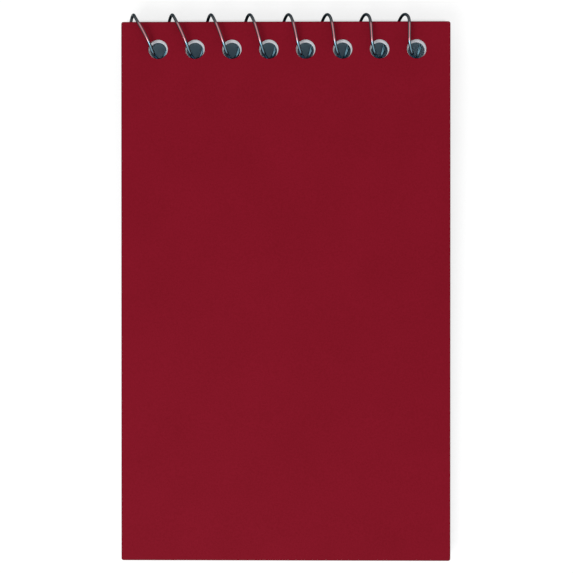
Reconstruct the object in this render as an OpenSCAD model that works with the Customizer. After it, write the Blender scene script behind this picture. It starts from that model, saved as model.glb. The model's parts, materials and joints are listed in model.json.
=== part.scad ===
// Reporter notebook: a pocket pad, bound along its head with one spiral wire.
// It lies on its back: +Z up, +Y toward the bound head, +X across.
// Lengths are in millimetres and z = 0 is the surface it lies on.

/* [Pad] */
// width of the covers and leaves
pad_w = 76.2; // [74:0.1:90]
// length from the head edge to the foot edge
pad_l = 124.8; // [100:0.1:150]
// thickness of the whole stack of leaves
leaves_t = 3.15; // [2.6:0.05:3.3]
// thickness of the red front cover
front_t = 0.45; // [0.3:0.05:0.5]
// thickness of the stiff back cover
back_t = 0.9; // [0.7:0.05:1]
// room between the front cover and the top leaf
front_gap = 0.4; // [0.3:0.05:0.4]
// radius of the four corners
corner_r = 0.5; // [0.3:0.1:3]

/* [Holes] */
// number of round holes in the row
hole_count = 8; // [7:1:9]
// distance from each side edge to the nearest hole's centre, with the row in the middle
row_margin = 8.175; // [7.6:0.025:9]
// diameter of a hole
hole_d = 4.5; // [4.4:0.05:4.8]
// distance from the head edge to the hole centres
hole_in = 6.35; // [6:0.05:7]
// how far the row sits to the right of the middle
row_shift = 0.36; // [0:0.02:0.6]

/* [Spiral wire] */
// diameter of the wire
wire_d = 0.7; // [0.5:0.05:0.7]
// how far the loops stand past the head edge
coil_rise = 2.5; // [2:0.05:2.6]
// room between the wire and the foot side of each hole
wire_room = 0.065; // [0.05:0.005:0.4]
// height of the coil's centre under the top leaf
coil_under = 2.32; // [1.5:0.02:2.4]
// how far left of each hole's centre the wire goes in
wire_left = 0.88; // [0:0.02:0.9]
// how much further apart the loops stand past the head edge than the holes
loop_fan = 0.49; // [0:0.01:0.5]
// radius of the bend at each end of the wire
bend_r = 1; // [0.8:0.1:1.4]
// straight tip after each bend
tip_l = 1.6; // [1:0.1:2.5]

/* [Hidden] */
$fa = 4;
$fs = 0.15;

// the coil: a helix about an axis along X, found from the holes it runs through
wire_r = wire_d / 2;
coil_r = (hole_in + hole_d / 2 - wire_room - wire_d + coil_rise) / 2;
coil_in = coil_r + wire_r - coil_rise;
board_room = 0.05;

// heights over the back cover's underside, before the pad is laid down
leaves_z = back_t + board_room;
front_z = leaves_z + leaves_t + front_gap;
coil_z = leaves_z + leaves_t - coil_under;
head_y = pad_l / 2;
coil_y = head_y - coil_in;
hole_y = head_y - hole_in;
hole_pitch = (pad_w - 2 * row_margin) / (hole_count - 1);
row_x0 = row_shift - hole_pitch * (hole_count - 1) / 2;

// the pad lies on its foot edge and on the undersides of the loops
lay_deg = lay_angle();
foot_end_y = -pad_l / 2 - (front_z + front_t) * sin(lay_deg);
head_end_y = (coil_y + pad_l / 2) * cos(lay_deg) - coil_z * sin(lay_deg)
    - pad_l / 2 + coil_r + wire_r;
mid_y = (foot_end_y + head_end_y) / 2;

// the wire: cut behind the back cover left of the first hole and right of the last
ring_sides = 12;
ring_step = 9;
bend_step = 15;
enter_deg = 180 - asin(coil_under / coil_r);
first_deg = -75;
last_deg = 360 * (hole_count - 1) + 280;
middle_loop = (hole_count - 1) / 2;

// the loops stand at their full spacing as far as the first angle on each side,
// and come back to the holes' spacing by the second
fan_front = [30, 125];
fan_back = [58, 100];

function lay_angle() =
    let (
        reach = coil_y + pad_l / 2,
        tangent = asin((coil_r + wire_r) / norm([reach, coil_z]))
    )
    tangent - atan2(coil_z, reach);

// angles run from the loop at the first hole, 0 where it stands furthest past the head
function ease(t) = let (u = max(0, min(1, t))) u * u * (3 - 2 * u);
function from_peak(a) = a - 360 * round(a / 360);
function fan_share(t) =
    t > 0 ? ease((fan_front[1] - t) / (fan_front[1] - fan_front[0]))
    : ease((fan_back[1] + t) / (fan_back[1] - fan_back[0]));
function fan_x(a) = loop_fan * (round(a / 360) - middle_loop) * fan_share(from_peak(a));

// a point of the coil, the way out from its axis, and the way along the wire
function coil_x(a) = row_x0 - wire_left + hole_pitch * (a - enter_deg) / 360 + fan_x(a);
function coil_point(a) = [coil_x(a), coil_y + coil_r * cos(a), coil_z + coil_r * sin(a)];
function coil_out(a) = [0, cos(a), sin(a)];
function coil_along(a) =
    let (run = coil_point(a + 0.5) - coil_point(a - 0.5))
    run / norm(run);
function coil_side(a) = cross(coil_out(a), coil_along(a));

// one station of the wire: its centre, the way along it and the way out
function on_coil(a) = [coil_point(a), coil_along(a), coil_out(a)];
function on_bend(a, way, b) =
    let (
        t = way * coil_along(a),
        s = -way * coil_side(a),
        c = coil_point(a) + bend_r * (sin(b) * t + (1 - cos(b)) * s)
    )
    [c, way * (cos(b) * t + sin(b) * s), coil_out(a)];
function on_tip(a, way) =
    let (root = on_bend(a, way, 90))
    [root[0] - way * tip_l * coil_side(a), root[1], root[2]];

stations = concat(
    [on_tip(first_deg, -1)],
    [for (b = [90:-bend_step:bend_step]) on_bend(first_deg, -1, b)],
    [for (a = [first_deg:ring_step:last_deg - 1]) on_coil(a)],
    [on_coil(last_deg)],
    [for (b = [bend_step:bend_step:90]) on_bend(last_deg, 1, b)],
    [on_tip(last_deg, 1)]
);

function ring(s) = [
    for (j = [0:ring_sides - 1])
        let (turn = 360 * j / ring_sides)
        s[0] + wire_r * (cos(turn) * s[2] + sin(turn) * cross(s[1], s[2]))
];
function corner(i, j) = i * ring_sides + j % ring_sides;

module laid() {
    translate([0, -pad_l / 2 - mid_y, 0])
        rotate([lay_deg, 0, 0])
            translate([0, pad_l / 2, 0])
                children();
}

module sheet(t) {
    difference() {
        union() {
            translate([-pad_w / 2 + corner_r, -pad_l / 2, 0])
                cube([pad_w - 2 * corner_r, pad_l, t]);
            translate([-pad_w / 2, -pad_l / 2 + corner_r, 0])
                cube([pad_w, pad_l - 2 * corner_r, t]);
            for (sx = [-1, 1], sy = [-1, 1])
                translate([sx * (pad_w / 2 - corner_r), sy * (pad_l / 2 - corner_r), 0])
                    cylinder(r = corner_r, h = t);
        }
        for (i = [0:hole_count - 1])
            translate([row_x0 + i * hole_pitch, hole_y, -1])
                cylinder(d = hole_d, h = t + 2);
    }
}

module back_cover() {
    color([0.42, 0.41, 0.39])
        laid()
            sheet(back_t);
}

module page_block() {
    color([0.93, 0.93, 0.9])
        laid()
            translate([0, 0, leaves_z])
                sheet(leaves_t);
}

module front_cover() {
    color([0.5, 0.08, 0.14])
        laid()
            translate([0, 0, front_z])
                sheet(front_t);
}

module spiral_wire() {
    rings = len(stations);
    color([0.7, 0.72, 0.74])
        laid()
            polyhedron(
                points = [for (s = stations) each ring(s)],
                faces = concat(
                    [[for (j = [0:ring_sides - 1]) j]],
                    [for (i = [0:rings - 2], j = [0:ring_sides - 1])
                        [corner(i, j), corner(i + 1, j), corner(i + 1, j + 1)]],
                    [for (i = [0:rings - 2], j = [0:ring_sides - 1])
                        [corner(i, j), corner(i + 1, j + 1), corner(i, j + 1)]],
                    [[for (j = [ring_sides - 1:-1:0]) corner(rings - 1, j)]]
                ),
                convexity = 10
            );
}

back_cover();
page_block();
front_cover();
spiral_wire();
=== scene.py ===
# %% [markdown]
# # A pocket reporter notebook
# This lesson dresses a small top-bound pad: a plain dark-red card cover, a stack of leaves,
# a stiff grey board behind them and one steel wire wound through eight punched holes.
# The measured solids are loaded first and never moved. Each new piece is made exactly where
# its solid lies, so the scene keeps the part's sizes and its hinge still works.

# %% Load the measured part
import json
import math
import random

import bmesh
import bpy
from mathutils import Matrix, Vector


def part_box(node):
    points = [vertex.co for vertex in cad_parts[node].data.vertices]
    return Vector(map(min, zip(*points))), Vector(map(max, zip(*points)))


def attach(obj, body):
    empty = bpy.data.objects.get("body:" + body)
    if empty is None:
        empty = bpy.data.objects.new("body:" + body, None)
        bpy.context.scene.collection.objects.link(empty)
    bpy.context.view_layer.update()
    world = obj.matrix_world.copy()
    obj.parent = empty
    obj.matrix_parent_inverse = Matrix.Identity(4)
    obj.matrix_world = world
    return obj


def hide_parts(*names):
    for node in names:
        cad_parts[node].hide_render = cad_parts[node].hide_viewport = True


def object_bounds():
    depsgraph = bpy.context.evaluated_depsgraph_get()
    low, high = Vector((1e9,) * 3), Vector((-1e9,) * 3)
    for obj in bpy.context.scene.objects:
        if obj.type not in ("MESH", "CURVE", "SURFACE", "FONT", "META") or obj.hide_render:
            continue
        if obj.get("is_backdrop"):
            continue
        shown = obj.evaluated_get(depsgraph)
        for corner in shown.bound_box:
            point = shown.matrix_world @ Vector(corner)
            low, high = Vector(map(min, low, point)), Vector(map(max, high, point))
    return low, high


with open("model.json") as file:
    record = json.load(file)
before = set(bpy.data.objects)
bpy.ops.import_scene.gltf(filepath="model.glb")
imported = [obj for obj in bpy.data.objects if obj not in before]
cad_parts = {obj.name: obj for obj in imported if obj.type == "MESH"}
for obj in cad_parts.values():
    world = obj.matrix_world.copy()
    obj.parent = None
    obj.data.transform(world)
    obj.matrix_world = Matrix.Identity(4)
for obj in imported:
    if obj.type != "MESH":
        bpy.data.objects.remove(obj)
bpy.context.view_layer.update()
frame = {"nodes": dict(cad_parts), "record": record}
MM = 0.001

# %% [markdown]
# ## The pad's own directions
# The pad lies on its foot edge and on the undersides of the wire loops, so it slopes by
# almost two degrees. Drawing on a slope is awkward. It is easier to draw every piece on a
# level pad and turn it at the end, which takes one matrix: its columns are the ways across
# the pad, toward its head and up out of its cover. The part's record states the last two.

# %% Find the slope and measure the solids along it
mounts = {mount["name"]: mount for mount in frame["record"]["mounts"]}
ACROSS = Vector((1, 0, 0))
HEADWARD = -Vector(mounts["foot_end"]["axis"])
UPWARD = -Vector(mounts["back"]["axis"])
PAD_TURN = Matrix((ACROSS, HEADWARD, UPWARD)).transposed().to_4x4()


def reach(node, way):
    """The lowest and highest place of a solid's corners along a direction."""
    places = [corner.co.dot(way) for corner in frame["nodes"][node].data.vertices]
    return min(places), max(places)


FOOT, HEAD = reach("page_block", HEADWARD)
LEFT, RIGHT = reach("page_block", ACROSS)
LEAVES_LOW, LEAVES_TOP = reach("page_block", UPWARD)
COVER_LOW, COVER_TOP = reach("front_cover", UPWARD)
BOARD_LOW, BOARD_TOP = reach("back_cover", UPWARD)
PAD_WIDTH, PAD_LENGTH = RIGHT - LEFT, HEAD - FOOT
MIDDLE_X, MIDDLE_Y = (LEFT + RIGHT) / 2, (FOOT + HEAD) / 2
print(f"pad {PAD_WIDTH / MM:.1f} x {PAD_LENGTH / MM:.1f} mm,",
      f"sloping {math.degrees(math.asin(HEADWARD.z)):.2f} degrees")

# %% [markdown]
# ## Shader maths in plain Python
# A node tree of a dozen Math nodes is hard to read as a list of links. A small class that
# wraps an output socket and answers to +, -, * and the rest lets a mask be written as a
# formula, and each operator adds its Math node behind the scenes.

# %% A socket that can be calculated with
class Value:
    """The output of a node in a tree."""

    def __init__(self, tree, socket):
        self.tree, self.socket = tree, socket

    def __add__(self, other):
        return self.tree.maths("ADD", self, other)

    def __sub__(self, other):
        return self.tree.maths("SUBTRACT", self, other)

    def __rsub__(self, other):
        return self.tree.maths("SUBTRACT", other, self)

    def __mul__(self, other):
        return self.tree.maths("MULTIPLY", self, other)

    def __truediv__(self, other):
        return self.tree.maths("DIVIDE", self, other)

    def __lt__(self, other):
        return self.tree.maths("LESS_THAN", self, other)

    def __gt__(self, other):
        return self.tree.maths("GREATER_THAN", self, other)

    __radd__ = __add__
    __rmul__ = __mul__

    def fraction(self):
        return self.tree.maths("FRACT", self)

    def size(self):
        return self.tree.maths("ABSOLUTE", self)

    def ramp(self, low, high):
        """0 at low, 1 at high and straight between them."""
        sockets = {"Value": self, "From Min": low, "From Max": high}
        return self.tree.node("ShaderNodeMapRange", {"clamp": True}, sockets)


print("a socket can be calculated with")

# %% [markdown]
# Any other node comes from one method of the tree, which sets the node's own settings first
# and then fills its sockets, with a link or a plain value. The sockets are named, or numbered
# where a node has several of one name.

# %% A tree that makes any node
class Tree:
    """A node tree, with one method that adds any node."""

    def __init__(self, nodes_and_links):
        self.nodes, self.links = nodes_and_links.nodes, nodes_and_links.links

    def node(self, kind, settings, sockets, output=0):
        made = self.nodes.new(kind)
        for name, value in settings.items():
            setattr(made, name, value)
        for name, value in sockets.items():
            self.fill(made.inputs[name], value)
        return Value(self, made.outputs[output])

    def fill(self, socket, value):
        if isinstance(value, Value):
            self.links.new(value.socket, socket)
        else:
            socket.default_value = value

    def maths(self, operation, *values):
        return self.node("ShaderNodeMath", {"operation": operation}, dict(enumerate(values)))

    def seen_directly(self):
        """1 for a ray from the camera, off a shiny face or through a clear one, otherwise 0."""
        rays = [self.node("ShaderNodeLightPath", {}, {}, name)
                for name in ("Is Camera Ray", "Is Glossy Ray", "Is Transmission Ray")]
        return (rays[0] + rays[1] + rays[2]) > 0.5


print("a tree can make any node")

# %% [markdown]
# A material is such a tree with a surface shader in it. Its patterns read the object's own
# coordinates, so they keep their place on a piece that moves, and their size is in metres.

# %% A finish for a piece
class Finish(Tree):
    """A material with its surface shader, and short names for the nodes it often needs."""

    def __init__(self, name):
        self.material = bpy.data.materials.new(name)
        self.material.use_nodes = True
        super().__init__(self.material.node_tree)
        self.surface = self.nodes["Principled BSDF"]
        self.place = self.node("ShaderNodeTexCoord", {}, {}, "Object")

    def set(self, **sockets):
        """Fills the surface shader's sockets; an underscore stands for a space."""
        for name, value in sockets.items():
            self.fill(self.surface.inputs[name.replace("_", " ")], value)

    def along(self, way):
        """How far a point lies along a direction of the pad, in metres."""
        return self.node("ShaderNodeVectorMath", {"operation": "DOT_PRODUCT"},
                         {0: self.place, 1: way}, "Value")

    def near_outline(self, width):
        """1 at the outer edge of a level sheet of the pad, falling to 0 at width inside it."""
        half_width, half_length = PAD_WIDTH / 2, PAD_LENGTH / 2
        beside = (self.along(ACROSS) - MIDDLE_X).size()
        beyond = (self.along(HEADWARD) - MIDDLE_Y).size()
        return self.maths("MAXIMUM", beside.ramp(half_width - width, half_width),
                          beyond.ramp(half_length - width, half_length))

    def mark(self, name):
        """A number that a piece's faces carry."""
        return self.node("ShaderNodeAttribute", {"attribute_name": name}, {}, "Fac")

    def noise(self, scale, detail=3.0, vector=None):
        sockets = {"Vector": vector or self.place, "Scale": scale, "Detail": detail}
        return self.node("ShaderNodeTexNoise", {}, sockets, "Fac")

    def blend(self, share, first, second):
        """A colour between two others."""
        return self.node("ShaderNodeMix", {"data_type": "RGBA"},
                         {0: share, 6: first, 7: second}, 2)

    def bump(self, height, distance):
        sockets = {"Height": height, "Distance": distance, "Strength": 1.0}
        return self.node("ShaderNodeBump", {}, sockets, "Normal")


print("a finish can be made")

# %% [markdown]
# A colour is easiest to choose as the eye reads it, but a shader works with plain light, in
# which a grey half way to white gives only a fifth of the light. Colours are converted once.

# %% Turn a colour into plain light
def shade(red, green, blue):
    """A colour as the eye reads it, from 0 to 255, as the plain light values a shader takes."""
    parts = [part / 255 for part in (red, green, blue)]
    plain = [p / 12.92 if p <= 0.04045 else ((p + 0.055) / 1.055) ** 2.4 for p in parts]
    return (*plain, 1.0)


print("a middle grey gives", round(shade(128, 128, 128)[0], 2), "of the light")

# %% [markdown]
# ## Dark-red card
# The cover is smooth dyed card, the same red all over, with no print. Card is never quite
# even, so a very fine noise lifts and sinks it by a few hundredths of a millimetre and moves
# the red by a shade too small to name. The punch and the guillotine leave a rougher, slightly
# duller edge. Faces made by a cut carry a mark called cut, which the finish reads.

# %% Make the red card
CARD_RED = shade(128, 14, 34)
CARD_DEEP = shade(120, 11, 29)
CARD_CUT = shade(108, 22, 34)
# Painted shade: a darker red along the cover's outline, where the edge is shaded.
CARD_EDGE_SHADE = shade(104, 10, 24)
EDGE_SHADE_WIDTH = 0.3 * MM
EDGE_SHADE_LEAST = 0.6
FIBRE_SCALE = 2600.0
FIBRE_RANGE = (0.4, 0.65)
CLOUD_SCALE = 90.0
CLOUD_RANGE = (0.35, 0.75)
CLOUD_SHARE = 0.4
CARD_RELIEF = 0.03 * MM
CARD_ROUGHNESS = 0.52
FIBRE_ROUGHNESS = 0.12
CUT_ROUGHNESS = 0.25
CARD_SHEEN = 0.05


def red_card():
    finish = Finish("red_card")
    fibre = finish.noise(FIBRE_SCALE, detail=4.0)
    cloud = finish.noise(CLOUD_SCALE, detail=2.0)
    cut = finish.mark("cut")
    clouded = CLOUD_SHARE * cloud.ramp(*CLOUD_RANGE)
    deeper = clouded + (1 - CLOUD_SHARE) * fibre.ramp(*FIBRE_RANGE)
    face = finish.blend(deeper, CARD_RED, CARD_DEEP)
    # A painted shade darkens the card toward its outline, unevenly.
    uneven = EDGE_SHADE_LEAST + (1 - EDGE_SHADE_LEAST) * fibre
    edge_shade = finish.near_outline(EDGE_SHADE_WIDTH) * uneven
    face = finish.blend(edge_shade, face, CARD_EDGE_SHADE)
    roughness = CARD_ROUGHNESS + fibre * FIBRE_ROUGHNESS + cut * CUT_ROUGHNESS
    finish.set(Base_Color=finish.blend(cut, face, CARD_CUT))
    finish.set(Roughness=roughness, Specular_IOR_Level=CARD_SHEEN)
    finish.set(Normal=finish.bump(fibre + cloud, CARD_RELIEF))
    return finish.material


CARD = red_card()
print("made", CARD.name)

# %% [markdown]
# ## Leaves of writing paper
# The leaves are cool white and uncoated. From the side a pad shows its sheets as fine lines:
# the gaps are modelled, and each leaf also carries its own small number, so no two are quite
# the same white. The top leaf is ruled, as a reporter's pad is, with pale blue lines that
# start below a deeper margin at the head. A line is where the distance from the head, counted
# in line spacings, is close to a whole number. The walls of the punched holes are a bluer
# white, as in the photograph: they are the cut faces that lie away from the outline. The
# bluer white is painted light, the cool light bounced between the leaves.

# %% Make the paper
PAPER_WHITE = shade(239, 242, 246)
PAPER_SHADE = shade(222, 229, 237)
PAPER_CUT = shade(221, 227, 236)
PAPER_HOLE_COOL_LIGHT = shade(180, 218, 242)
EDGE_WIDTH = 1.0 * MM
GRAIN_SCALE = 1500.0
LEAF_SHARE = 0.8
CUT_SHARE = 0.7
PAPER_ROUGHNESS = 0.82
PAPER_RELIEF = 0.006 * MM
RULE_BLUE = shade(146, 178, 212)
RULE_SHARE = 0.85
RULE_SPACING = 8 * MM
RULE_FIRST = 22 * MM
RULE_WIDTH = 0.22 * MM
RULE_FADE = (0.35 * RULE_WIDTH, 0.65 * RULE_WIDTH)
RULE_COUNT = 13


def writing_paper():
    finish = Finish("writing_paper")
    leaf = finish.mark("leaf")
    grain = finish.noise(GRAIN_SCALE, detail=4.0)
    cut = finish.mark("cut")
    down = HEAD - finish.along(HEADWARD)
    steps = (down - RULE_FIRST) / RULE_SPACING + 0.5
    off_line = (steps.fraction() - 0.5).size() * RULE_SPACING
    ruled = (steps > 0.0) * (steps < float(RULE_COUNT)) * finish.mark("ruled")
    line = ruled * (1 - off_line.ramp(*RULE_FADE))
    tone = leaf * LEAF_SHARE + grain * (1 - LEAF_SHARE)
    white = finish.blend(tone, PAPER_WHITE, PAPER_SHADE)
    white = finish.blend(cut * CUT_SHARE, white, PAPER_CUT)
    # Painted light: the hole walls take a bluer white for the cool light bounced between the
    # leaves.
    white = finish.blend(cut * (1 - finish.near_outline(EDGE_WIDTH)), white, PAPER_HOLE_COOL_LIGHT)
    finish.set(Base_Color=finish.blend(line * RULE_SHARE, white, RULE_BLUE))
    finish.set(Roughness=PAPER_ROUGHNESS, Normal=finish.bump(grain, PAPER_RELIEF))
    return finish.material


PAPER = writing_paper()
print("made", PAPER.name, "with", RULE_COUNT, "ruled lines")

# %% [markdown]
# ## Grey board
# The back is pulp board: grey, matt and flecked with darker and lighter fibres. Two noises of
# different size make the flecks. The cut edge shows the same pulp in layers, drawn as a noise
# that is stretched along the sheet by shrinking its coordinates there.

# %% Make the board
BOARD_GREY = shade(150, 147, 141)
BOARD_DARK = shade(112, 108, 102)
BOARD_PALE = shade(182, 179, 172)
FLECK_SCALE = 950.0
FLECK_RANGE = (0.38, 0.62)
FLECK_SHARE = 0.55
PULP_SCALE = 240.0
PULP_RANGE = (0.55, 0.8)
PULP_SHARE = 0.5
LAYER_SCALE = 5200.0
LAYER_RANGE = (0.4, 0.6)
LAYER_STRETCH = (0.06, 0.06, 1.0)
BOARD_ROUGHNESS = 0.88
BOARD_RELIEF = 0.02 * MM


def grey_board():
    finish = Finish("grey_board")
    cut = finish.mark("cut")
    fleck = finish.noise(FLECK_SCALE, detail=6.0)
    pulp = finish.noise(PULP_SCALE)
    stretched = finish.node("ShaderNodeMapping", {"vector_type": "POINT"},
                            {"Vector": finish.place, "Scale": LAYER_STRETCH})
    layers = finish.noise(LAYER_SCALE, detail=2.0, vector=stretched)
    flecked = fleck.ramp(*FLECK_RANGE) * FLECK_SHARE
    mottled = finish.blend(flecked, BOARD_GREY, BOARD_DARK)
    mottled = finish.blend(pulp.ramp(*PULP_RANGE) * PULP_SHARE, mottled, BOARD_PALE)
    edge = finish.blend(layers.ramp(*LAYER_RANGE), BOARD_GREY, BOARD_PALE)
    finish.set(Base_Color=finish.blend(cut, mottled, edge), Roughness=BOARD_ROUGHNESS)
    finish.set(Normal=finish.bump(fleck + cut * layers, BOARD_RELIEF))
    return finish.material


BOARD = grey_board()
print("made", BOARD.name)

# %% [markdown]
# ## Steel wire with painted reflections
# The wire is metal, and its colour is painted to stand in for what it reflects: past the head
# edge the loops are painted nearly black, a painted dark reflection. Over the cover, where
# each loop lies highest, a bright line is painted along the wire's crown, a painted highlight.
# Inside the holes and behind the board the light colour is painted all round. The crown is
# found from the distance to the coil's middle line, which is greatest on the outer side of the
# wire, and the coil is measured from its solid's box. As far as the holes the painted line is
# pink, a painted reflection of the red card, and from the holes on it is bluish, a painted
# reflection of the hole walls. Both colours are metal with little roughness, so only the
# colour changes, and a noise makes the painted band uneven.

# %% Make the steel
WIRE_RADIUS = 0.35 * MM
# The wire's colours are a painted highlight and painted reflections: pink, bluish and dark.
STEEL_PINK_HIGHLIGHT = shade(196, 128, 136)
STEEL_HOLE_REFLECTION = shade(112, 150, 166)
STEEL_DARK_REFLECTION = shade(75, 79, 82)
STEEL_EDGE = shade(146, 150, 152)
CROWN = (0.87, 0.95)
PAINTED_FROM = 0.2 * MM
PAINTED_FULLY = 0.9 * MM
PAINTED_WOBBLE = 0.6 * MM
HOLES_BEGIN = (4.5 * MM, 5.2 * MM)
STREAK_SCALE = 700.0
CROWN_WOBBLE = 0.06
STEEL_ROUGHNESS = 0.16
STREAK_ROUGHNESS = 0.12

coil_low, coil_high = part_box("spiral_wire")
COIL_RADIUS = (coil_high.z - coil_low.z) / 2 - WIRE_RADIUS
COIL_HEAD = HEADWARD.dot(coil_low + coil_high) / 2
COIL_UP = UPWARD.dot(coil_low + coil_high) / 2


def steel_with_painted_highlight():
    finish = Finish("steel_with_painted_highlight")
    streaks = finish.noise(STREAK_SCALE)
    uneven = streaks - 0.5
    headward, upward = finish.along(HEADWARD), finish.along(UPWARD)
    beyond = headward - COIL_HEAD
    above = upward - COIL_UP
    outward = finish.maths("SQRT", beyond * beyond + above * above) - COIL_RADIUS
    # The crown, the outer side of the wire, where the highlight is painted.
    crown = (outward / WIRE_RADIUS + uneven * CROWN_WOBBLE).ramp(*CROWN)
    inward = HEAD - headward + uneven * PAINTED_WOBBLE
    under_cover = 1 - upward.ramp(LEAVES_TOP, COVER_TOP)
    highlight_zone = finish.maths("MAXIMUM", crown, under_cover)
    # Where the painted highlight and the painted reflections in the holes replace the dark
    # colour.
    painted_share = highlight_zone * inward.ramp(PAINTED_FROM, PAINTED_FULLY)
    bluish = finish.maths("MAXIMUM", inward.ramp(*HOLES_BEGIN), under_cover)
    # Pink is a painted reflection of the red card, bluish a painted reflection of the hole
    # walls.
    reflection_colour = finish.blend(bluish, STEEL_PINK_HIGHLIGHT, STEEL_HOLE_REFLECTION)
    finish.set(Base_Color=finish.blend(painted_share, STEEL_DARK_REFLECTION, reflection_colour), Metallic=1.0)
    finish.set(Roughness=STEEL_ROUGHNESS + streaks * STREAK_ROUGHNESS, Specular_Tint=STEEL_EDGE)
    return finish.material


WIRE_STEEL = steel_with_painted_highlight()
print("made", WIRE_STEEL.name)

# %% [markdown]
# ## From a bmesh to a piece
# Every piece is finished the same way. It is turned onto the slope, made an object that
# sits at the origin, given its material, and tied to the body that carries it. It then stands
# for its solid, which is no longer shown.

# %% Finish a piece
def finish_piece(mesh, name, node, body, material, smooth=False):
    """Makes a level bmesh the piece that stands for a solid, and frees the bmesh."""
    bmesh.ops.transform(mesh, matrix=PAD_TURN, verts=mesh.verts)
    bmesh.ops.recalc_face_normals(mesh, faces=mesh.faces)
    data = bpy.data.meshes.new(name)
    mesh.to_mesh(data)
    mesh.free()
    if smooth:
        data.shade_smooth()
    else:
        data.shade_flat()
    data.materials.append(material)
    piece = bpy.data.objects.new(name, data)
    bpy.context.scene.collection.objects.link(piece)
    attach(piece, body)
    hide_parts(node)
    triangles = sum(len(face.vertices) - 2 for face in data.polygons)
    print(f"made {name}: {triangles} triangles, on {body}")


print("ready to finish pieces")

# %% [markdown]
# ## One punched sheet
# The cover, each leaf and the board are the same shape: a rectangle with tiny round corners
# and a row of round holes near its head. The sizes of the holes and corners are those of the
# solids.

# %% Mark out the holes
HOLE_COUNT = 8
HOLE_PITCH = 8.55 * MM
HOLE_RADIUS = 2.25 * MM
HOLE_IN = 6.35 * MM
ROW_SHIFT = 0.36 * MM
CORNER_RADIUS = 0.5 * MM
MIDDLE_HOLE = (HOLE_COUNT - 1) / 2
HOLES = [MIDDLE_X + ROW_SHIFT + (number - MIDDLE_HOLE) * HOLE_PITCH
         for number in range(HOLE_COUNT)]
HOLE_LINE = HEAD - HOLE_IN
print(HOLE_COUNT, "holes,", f"{HOLE_PITCH / MM:.2f} mm apart")

# %% [markdown]
# Cutting holes with a Boolean would work, but the quick way is to lay down the outline and
# the circles as loose edges and let Blender fill between them, because a fill leaves closed
# loops inside it open. The flat sheet is then extruded to its thickness, and its rims, where
# two faces meet at a sharp turn, can be bevelled. The faces that do not lie level are the cut
# ones, and carry the mark.

# %% A sheet with holes in it
RIM_STEPS = 3
RIM_TURN = math.radians(60)
LEVEL = 0.5


def outline(mesh, corner_steps):
    """The sheet's outer edge, with its corners rounded."""
    place = Matrix.Translation((MIDDLE_X, MIDDLE_Y, 0))
    size = Matrix.Diagonal((PAD_WIDTH, PAD_LENGTH, 1, 1))
    made = bmesh.ops.create_grid(mesh, x_segments=1, y_segments=1, size=0.5,
                                 matrix=place @ size)
    bmesh.ops.bevel(mesh, geom=made["verts"], offset=CORNER_RADIUS, affect="VERTICES",
                    segments=corner_steps, profile=0.5, material=-1)
    bmesh.ops.delete(mesh, geom=mesh.faces[:], context="FACES_ONLY")


def punched_sheet(low, high, hole_steps, corner_steps, rim=0.0):
    """A sheet between two heights, its rims rounded by rim. Cut faces carry the mark cut."""
    mesh = bmesh.new()
    outline(mesh, corner_steps)
    for middle in HOLES:
        bmesh.ops.create_circle(mesh, cap_ends=False, segments=hole_steps, radius=HOLE_RADIUS,
                                matrix=Matrix.Translation((middle, HOLE_LINE, 0)))
    bmesh.ops.triangle_fill(mesh, use_beauty=True, edges=mesh.edges[:], normal=(0, 0, 1))
    bmesh.ops.translate(mesh, vec=(0, 0, low), verts=mesh.verts)
    made = bmesh.ops.extrude_face_region(mesh, geom=mesh.faces[:], use_keep_orig=True)
    raised = [part for part in made["geom"] if isinstance(part, bmesh.types.BMVert)]
    bmesh.ops.translate(mesh, vec=(0, 0, high - low), verts=raised)
    bmesh.ops.recalc_face_normals(mesh, faces=mesh.faces[:])
    if rim:
        rims = [edge for edge in mesh.edges if edge.calc_face_angle(0) > RIM_TURN]
        bmesh.ops.bevel(mesh, geom=rims, offset=rim, affect="EDGES", segments=RIM_STEPS,
                        profile=0.5, material=-1)
    cut = mesh.faces.layers.float.new("cut")
    for face in mesh.faces:
        face[cut] = 0.0 if abs(face.normal.z) > LEVEL else 1.0
    return mesh


print("ready to punch sheets")

# %% [markdown]
# ## The front cover and the back board
# Both are one punched sheet. The card is thin with crisp rims. The board is twice as thick
# and softer, so its rims are rounder.

# %% Make the covers
CARD_RIM = 0.05 * MM
BOARD_RIM = 0.12 * MM
HOLE_STEPS = 72
CORNER_STEPS = 5

card = punched_sheet(COVER_LOW, COVER_TOP, HOLE_STEPS, CORNER_STEPS, CARD_RIM)
finish_piece(card, "red_cover", "front_cover", "cover", CARD)
board = punched_sheet(BOARD_LOW, BOARD_TOP, HOLE_STEPS, CORNER_STEPS, BOARD_RIM)
finish_piece(board, "grey_back", "back_cover", "pad", BOARD)

# %% [markdown]
# ## The stack of leaves
# A block with lines painted on its sides looks like a block. Forty thin sheets with air
# between them look like paper, and still cost few faces. One leaf is made and copied up the
# stack. Two things are done to each copy. A guillotine trims all leaves together, but
# handling shuffles them by a few hundredths of a millimetre, so the outer edge is drawn in.
# And the leaves are punched apart from the covers: in the upper ones the holes come out a
# third of a millimetre tighter and nearer the foot, so a pale crescent of paper shows inside
# the card's holes.

# %% Change one leaf
HOLE_TIGHTER = 0.33 * MM
HOLE_LOWER = 0.28 * MM
HOLE_REACH = 1.1 * HOLE_RADIUS


def draw_in(corners, side, head, foot):
    """Pulls a leaf's outer corners in, at its sides, its head and its foot."""
    for corner in corners:
        near_head = corner.co.y > HEAD - 2 * CORNER_RADIUS
        near_foot = corner.co.y < FOOT + 2 * CORNER_RADIUS
        if near_head or near_foot:
            corner.co.x += side if corner.co.x < MIDDLE_X else -side
            corner.co.y += foot if near_foot else -head


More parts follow.
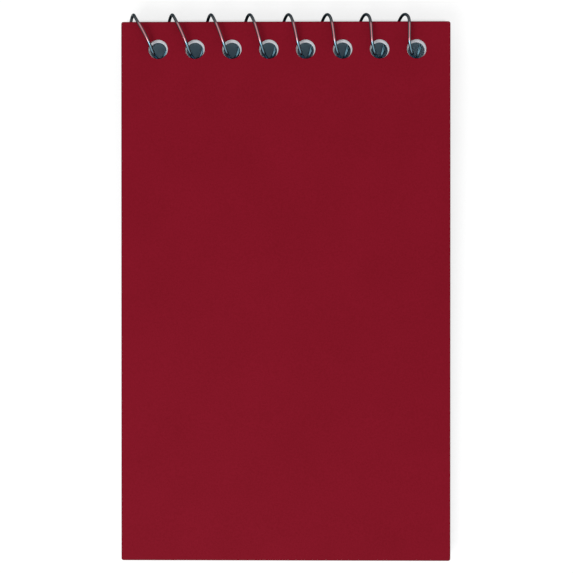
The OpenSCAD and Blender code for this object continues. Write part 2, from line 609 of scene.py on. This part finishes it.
def tighten_holes(corners, share):
    """Draws a leaf's holes in and toward the foot, by a share of the top leaf's amounts."""
    for corner in corners:
        middle = min(HOLES, key=lambda place: abs(place - corner.co.x))
        from_middle = Vector((corner.co.x - middle, corner.co.y - HOLE_LINE, 0))
        if from_middle.length < HOLE_REACH:
            corner.co -= from_middle * (HOLE_TIGHTER * share / HOLE_RADIUS)
            corner.co.y -= HOLE_LOWER * share


print("ready to change leaves")

# %% [markdown]
# The amounts of shuffle are random but seeded, so every run gives the same pad. Deeper down
# the wire needs the room, so the holes are back at full size there.

# %% Stack the leaves
LEAF_COUNT = 40
LEAF_PITCH = (LEAVES_TOP - LEAVES_LOW) / LEAF_COUNT
LEAF_AIR = 0.16
LEAF_HOLE_STEPS = 40
LEAF_CORNER_STEPS = 3
SHUFFLE = 0.07 * MM
TIGHT_DEPTH = 2.4 * MM
SEED = 11


def leaf_stack():
    """One leaf, copied up the stack. Each copy has a tone, and the top one is ruled."""
    draw = random.Random(SEED)
    stack = punched_sheet(0, LEAF_PITCH * (1 - LEAF_AIR), LEAF_HOLE_STEPS, LEAF_CORNER_STEPS)
    leaf = stack.faces.layers.float.new("leaf")
    ruled = stack.faces.layers.float.new("ruled")
    first = stack.verts[:] + stack.edges[:] + stack.faces[:]
    for number in range(LEAF_COUNT):
        copy = bmesh.ops.duplicate(stack, geom=first)["geom"]
        corners = [part for part in copy if isinstance(part, bmesh.types.BMVert)]
        tone = draw.random()
        for part in copy:
            if isinstance(part, bmesh.types.BMFace):
                part[leaf] = tone
                part[ruled] = float(number == LEAF_COUNT - 1 and part.normal.z > LEVEL)
        draw_in(corners, *(draw.random() ** 2 * SHUFFLE for _ in range(3)))
        height = LEAVES_LOW + (number + LEAF_AIR) * LEAF_PITCH
        tighten_holes(corners, max(0.0, 1 - (LEAVES_TOP - height) / TIGHT_DEPTH))
        bmesh.ops.translate(stack, vec=(0, 0, height), verts=corners)
    bmesh.ops.delete(stack, geom=first, context="VERTS")
    return stack


finish_piece(leaf_stack(), "leaves", "page_block", "pad", PAPER)

# %% [markdown]
# ## The spiral wire
# A coil could be a spin, which turns a circle about an axis and shifts it a little along it at
# every step. That fits an even coil. Here the loops stand wider apart past the head edge than
# inside the holes, and both ends are bent in, so the wire follows a path instead. One circle
# is extruded ring by ring. Each ring has its own matrix, whose columns are the way sideways,
# the way out of the coil and the way along the wire, so the wire keeps its thickness in every
# bend. The sizes below say how the coil lies in the holes and how far its loops fan out.

# %% Lay out the coil
WIRE_LEFT = 0.88 * MM
LOOP_FAN = 0.49 * MM
LEAVES_OVER_COIL = 2.32 * MM
FAN_FRONT = (30, 125)
FAN_BACK = (58, 100)
FIRST_ANGLE = -75
LAST_ANGLE = 360 * (HOLE_COUNT - 1) + 280

ENTER_ANGLE = 180 - math.degrees(math.asin(LEAVES_OVER_COIL / COIL_RADIUS))
print(f"coil radius {COIL_RADIUS / MM:.3f} mm, middle {(HEAD - COIL_HEAD) / MM:.2f} mm under",
      f"the head edge and {(LEAVES_TOP - COIL_UP) / MM:.2f} mm under the top leaf")

# %% [markdown]
# Angles run along the whole wire, with 0 where the first loop stands furthest past the head.
# At 90 degrees the wire is above the cover, and at 180 it is deepest in a hole.

# %% Find a point of the wire, and a ring's matrix there
NEARBY = 0.5


def ease(share):
    """0 up to a share of 0, 1 from a share of 1, and a smooth step between them."""
    share = max(0.0, min(1.0, share))
    return share * share * (3 - 2 * share)


def fan_shift(angle):
    """How far a loop slides outward along the row, past the head edge."""
    loop = round(angle / 360)
    turn = angle - 360 * loop
    begin, end = FAN_FRONT if turn > 0 else FAN_BACK
    return LOOP_FAN * (loop - MIDDLE_HOLE) * ease((end - abs(turn)) / (end - begin))


def wire_point(angle):
    """The middle of the wire at an angle, on the level pad."""
    even = HOLES[0] - WIRE_LEFT + HOLE_PITCH * (angle - ENTER_ANGLE) / 360
    turn = math.radians(angle)
    return Vector((even + fan_shift(angle), COIL_HEAD + COIL_RADIUS * math.cos(turn),
                   COIL_UP + COIL_RADIUS * math.sin(turn)))


def wire_ring(angle):
    """The matrix that puts a flat circle round the wire at an angle."""
    turn = math.radians(angle)
    out = Vector((0, math.cos(turn), math.sin(turn)))
    along = (wire_point(angle + NEARBY) - wire_point(angle - NEARBY)).normalized()
    columns = Matrix((out.cross(along), out, along)).transposed().to_4x4()
    return Matrix.Translation(wire_point(angle)) @ columns


span = wire_point(LAST_ANGLE) - wire_point(FIRST_ANGLE)
print(f"the coil's ends are {span.length / MM:.1f} mm apart")

# %% [markdown]
# Each end turns a quarter circle toward the middle of the row, which is the same ring turned
# about a point beside it, and then runs straight for a little.

# %% List the rings from one end of the wire to the other
BEND_RADIUS = 1.0 * MM
TIP_LENGTH = 1.6 * MM
RING_STEP = 5
BEND_STEP = 10
BEND_TURN = 90


def bent_rings(angle, way):
    """The rings of the bend at an end, and of its tip, outward from the coil."""
    start = wire_ring(angle)
    side, out = start.col[0].to_3d(), start.col[1].to_3d()
    pivot = Matrix.Translation(start.translation - way * side * BEND_RADIUS)
    bend = [pivot @ Matrix.Rotation(math.radians(-turn), 4, out) @ pivot.inverted() @ start
            for turn in range(BEND_STEP, BEND_TURN + 1, BEND_STEP)]
    return bend + [Matrix.Translation(-way * side * TIP_LENGTH) @ bend[-1]]


coil_rings = [wire_ring(angle) for angle in range(FIRST_ANGLE, LAST_ANGLE + 1, RING_STEP)]
wire_rings = bent_rings(FIRST_ANGLE, -1)[::-1] + coil_rings + bent_rings(LAST_ANGLE, 1)
print(len(wire_rings), "rings")

# %% [markdown]
# A circle is laid on the first ring, and its open edge is extruded and carried to the next
# ring, one after another. A cutter leaves a flat end with a dulled rim, so each end is
# capped, the cap is inset, and the rim round it is set back a little.

# %% Extrude the wire through its rings
WIRE_SIDES = 20
CUT_INSET = 0.3
CUT_DEPTH = 0.12


def next_ring(mesh, ring):
    """Extrudes an open ring of edges, and returns the corners and edges of the new one."""
    made = bmesh.ops.extrude_edge_only(mesh, edges=ring)["geom"]
    corners = {part for part in made if isinstance(part, bmesh.types.BMVert)}
    edges = [part for part in made if isinstance(part, bmesh.types.BMEdge)]
    return corners, [edge for edge in edges if corners.issuperset(edge.verts)]


def close_end(mesh, ring):
    """Caps an end the way a cutter leaves it: flat, with a small dulled rim."""
    cap = bmesh.ops.contextual_create(mesh, geom=ring)["faces"]
    rim = bmesh.ops.inset_region(mesh, faces=cap, thickness=WIRE_RADIUS * CUT_INSET)["faces"]
    inward = sum((face.normal for face in cap), Vector()) * -1
    corners = {corner for face in rim for corner in face.verts}
    corners -= {corner for face in cap for corner in face.verts}
    bmesh.ops.translate(mesh, vec=inward * WIRE_RADIUS * CUT_DEPTH, verts=list(corners))


def sweep_wire():
    """The wire as one closed tube."""
    mesh = bmesh.new()
    bmesh.ops.create_circle(mesh, cap_ends=False, segments=WIRE_SIDES, radius=WIRE_RADIUS,
                            matrix=wire_rings[0])
    first = ring = mesh.edges[:]
    for before, after in zip(wire_rings, wire_rings[1:]):
        corners, ring = next_ring(mesh, ring)
        bmesh.ops.transform(mesh, matrix=after @ before.inverted(), verts=list(corners))
    bmesh.ops.recalc_face_normals(mesh, faces=mesh.faces[:])
    for end in (first, ring):
        close_end(mesh, end)
    return mesh


finish_piece(sweep_wire(), "wire", "spiral_wire", "coil", WIRE_STEEL, smooth=True)

# %% [markdown]
# ## The floor
# The photograph has a pure white ground and almost no shadow. The floor is a middle grey that
# also glows a little, but only to the eye and in the metal, so the glow lights nothing. It
# still keeps the pad's soft shadow. Under the pad it does not glow and is slate blue, as the
# photograph shows it through the holes: a painted blue tint for the shade there. Far off it
# glows more, where the lamp reaches less.

# %% Lay the floor
FLOOR_GREY = (0.4, 0.4, 0.4, 1.0)
# A painted blue shade for the floor under the pad.
FLOOR_BLUE_SHADE = (0.31, 0.46, 0.56, 1.0)
FLOOR_GLOW = 0.67
GLOW_FADE = 2 * MM
BLUE_SHADE_FADE = 6.5 * MM
FAR_GLOW = 0.1
FAR_FLOOR = (0.15, 0.8)
FLOOR_SIZE = 6.0


def white_floor():
    finish = Finish("white_floor")
    low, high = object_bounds()
    middle, half = (low + high) / 2, (high - low) / 2
    beside = (finish.along(ACROSS) - middle.x).size()
    beyond = (finish.along(Vector((0, 1, 0))) - middle.y).size()
    below = finish.node("ShaderNodeNewGeometry", {}, {}, "Backfacing")

    def outside(fade):
        """0 under the pad, rising to 1 at its edge, and 1 on the floor's underside."""
        past = finish.maths("MAXIMUM", beside.ramp(half.x - fade, half.x),
                            beyond.ramp(half.y - fade, half.y))
        return finish.maths("MAXIMUM", past, below)

    # Painted shade: slate blue under the pad, for the bluish shade seen through the holes.
    ground = finish.blend(outside(BLUE_SHADE_FADE), FLOOR_BLUE_SHADE, FLOOR_GREY)
    away = finish.node("ShaderNodeVectorMath", {"operation": "LENGTH"},
                       {0: finish.place}, "Value")
    near = outside(GLOW_FADE) * FLOOR_GLOW
    far = away.ramp(*FAR_FLOOR) * FAR_GLOW
    glow = finish.seen_directly() * (near + far)
    finish.set(Base_Color=ground, Roughness=1.0)
    finish.set(Specular_IOR_Level=0.0, Emission_Color=glow, Emission_Strength=1.0)
    sheet = bmesh.new()
    bmesh.ops.create_grid(sheet, x_segments=1, y_segments=1, size=FLOOR_SIZE / 2)
    data = bpy.data.meshes.new("floor")
    sheet.to_mesh(data)
    sheet.free()
    data.materials.append(finish.material)
    floor = bpy.data.objects.new("floor", data)
    bpy.context.scene.collection.objects.link(floor)
    floor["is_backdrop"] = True


white_floor()
print("floor in place")

# %% [markdown]
# ## The light
# An even sky gives most of the light. One soft lamp, slanted from the foot and left, gives
# the rest: so slanted, it lights one side of each hole and leaves its ground dark. Together
# they light a level surface so that a colour shows about as it is written.

# %% Light the pad
SKY_SHARE = 0.72
LAMP_SHARE = 0.32
LAMP_DISTANCE = 0.9
LAMP_WIDTH = 0.45
LAMP_TILT = 38
LAMP_TURN = -30


def even_sky():
    """A sky that lights at its share and shows white to the eye and in the metal."""
    sky = bpy.data.worlds.new("sky")
    sky.use_nodes = True
    tree = Tree(sky.node_tree)
    shine = tree.nodes["Background"]
    tree.fill(shine.inputs["Color"], (1, 1, 1, 1))
    tree.fill(shine.inputs["Strength"], tree.seen_directly() * (1 - SKY_SHARE) + SKY_SHARE)
    bpy.context.scene.world = sky


def slanted_lamp():
    """A soft square lamp, tilted off the vertical toward the pad's foot and left."""
    lamp = bpy.data.lights.new("softbox", "AREA")
    lamp.shape = "SQUARE"
    lamp.size = LAMP_WIDTH
    tilt = math.radians(LAMP_TILT)
    lamp.energy = LAMP_SHARE * (math.pi * LAMP_DISTANCE) ** 2 / math.cos(tilt)
    holder = bpy.data.objects.new("softbox", lamp)
    aim = Matrix.Rotation(math.radians(LAMP_TURN), 4, "Z") @ Matrix.Rotation(tilt, 4, "X")
    holder.matrix_world = aim @ Matrix.Translation((0, 0, LAMP_DISTANCE))
    bpy.context.scene.collection.objects.link(holder)


even_sky()
slanted_lamp()
print("sky and lamp in place")

# %% [markdown]
# ## The camera
# The photograph looks straight down on the cover from about thirty centimetres, which shows
# in how much further apart the wire's upper legs look than its lower ones. The cover's four
# corners fix the rest: the camera stands a few millimetres off the cover's middle and is
# turned by well under a degree.

# %% Set up the camera
CAMERA_HEIGHT = 304.9 * MM
CAMERA_RIGHT = 3.76 * MM
CAMERA_HEADWARD = 2.22 * MM
CAMERA_NOD = -0.211
CAMERA_LEAN = 0.67
SENSOR_WIDTH = 36.0
PHOTO_PIXELS = 573
COVER_PIXELS = 329.15

camera = bpy.data.cameras.new("camera")
camera.sensor_width = SENSOR_WIDTH
picture_width = PAD_WIDTH * PHOTO_PIXELS / COVER_PIXELS
camera.lens = SENSOR_WIDTH * CAMERA_HEIGHT / picture_width
stand = Vector((MIDDLE_X + CAMERA_RIGHT, MIDDLE_Y + CAMERA_HEADWARD,
                COVER_TOP + CAMERA_HEIGHT))
turn = (Matrix.Rotation(math.radians(CAMERA_NOD), 4, "X")
        @ Matrix.Rotation(math.radians(CAMERA_LEAN), 4, "Y"))
camera_holder = bpy.data.objects.new("camera", camera)
camera_holder.matrix_world = PAD_TURN @ Matrix.Translation(stand) @ turn
bpy.context.scene.collection.objects.link(camera_holder)
bpy.context.scene.camera = camera_holder
bpy.context.scene.view_settings.view_transform = "Standard"
print(f"lens {camera.lens:.1f} mm")
